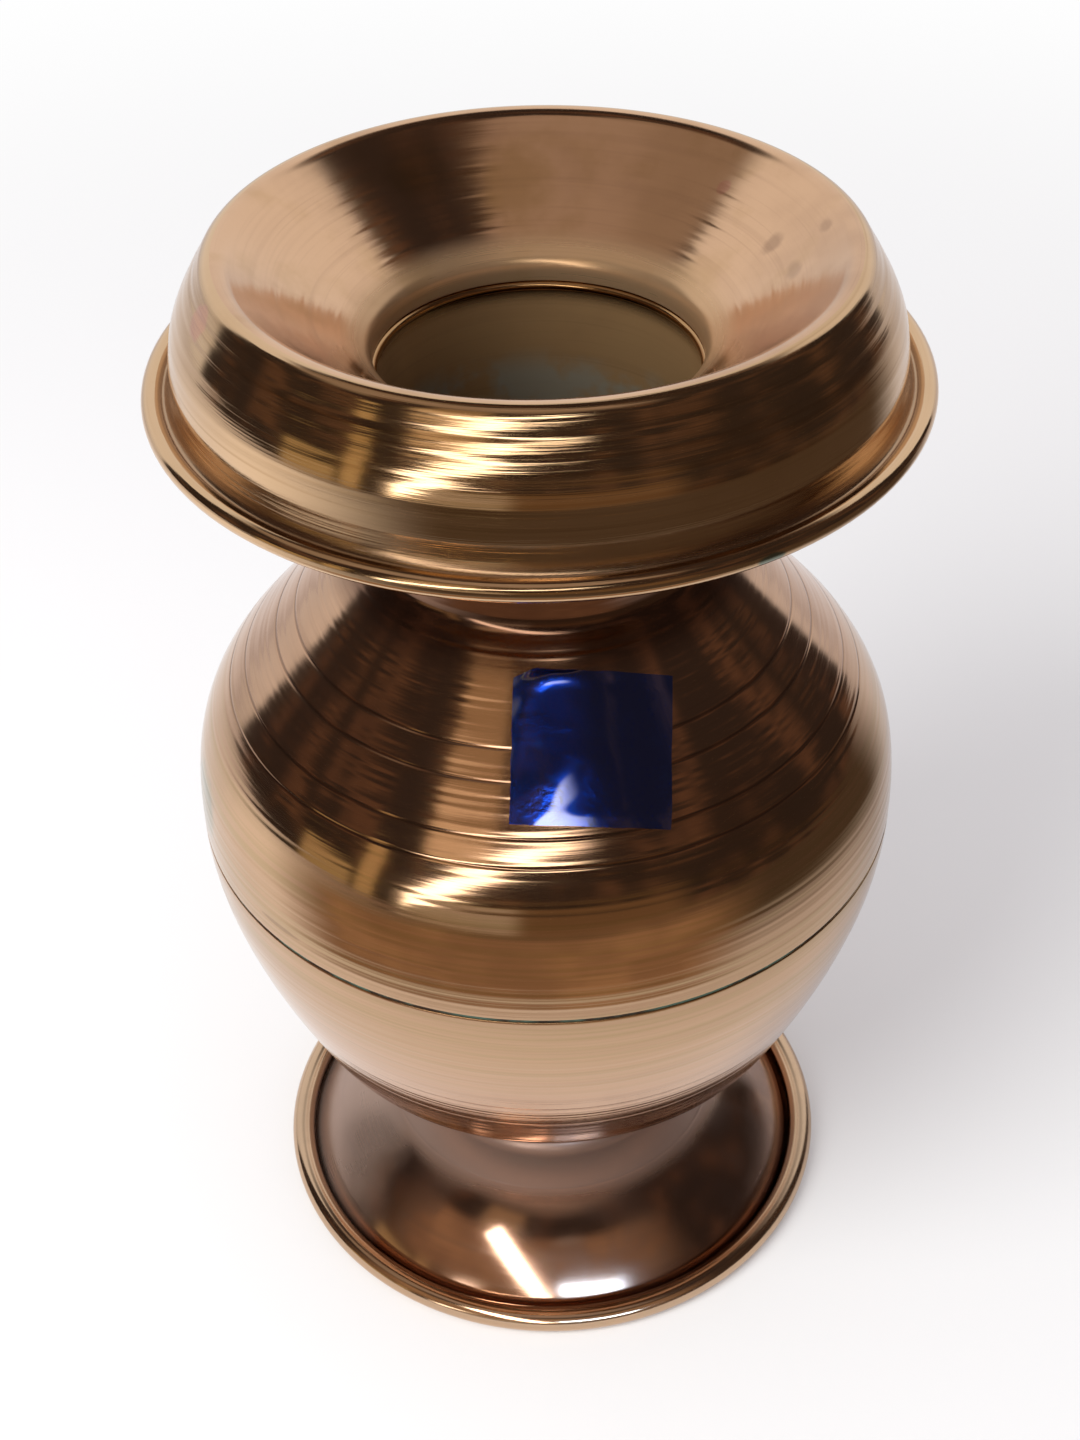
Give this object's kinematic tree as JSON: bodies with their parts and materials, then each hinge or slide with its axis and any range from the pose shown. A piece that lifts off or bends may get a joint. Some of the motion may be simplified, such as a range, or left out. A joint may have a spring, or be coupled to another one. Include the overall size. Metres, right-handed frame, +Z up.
{
  "type": "lota",
  "caption": "Round-bellied metal water vessel with a funnel mouth inside a banded, beaded rim, a seamed belly and a domed foot.",
  "frame": {"origin": "centre of the foot's base ring, on the plane that it stands on", "axes": "+Z up along the axis of revolution, -Y towards the front, where the label is"},
  "size_m": [0.092, 0.092, 0.1496],
  "materials": {
    "copper": "polished copper-bronze with fine turned lines",
    "golden_copper": "polished, more golden bronze with fine turned lines",
    "braze": "dull filler metal with green tarnish",
    "foil_label": "blank blue metallic foil, slightly creased"
  },
  "bodies": {
    "root": {"foot": "copper", "foot_edge_wire": "copper", "foot_braze": "braze", "lower_bowl": "copper", "seam_braze": "braze", "upper_body": "copper", "neck_braze": "braze", "neck_tube": "copper", "throat_braze": "braze", "mouth_funnel": "copper", "rim_collar": "golden_copper", "lip_braze": "braze", "label_sticker": "foil_label"}
  },
  "joints": []
}
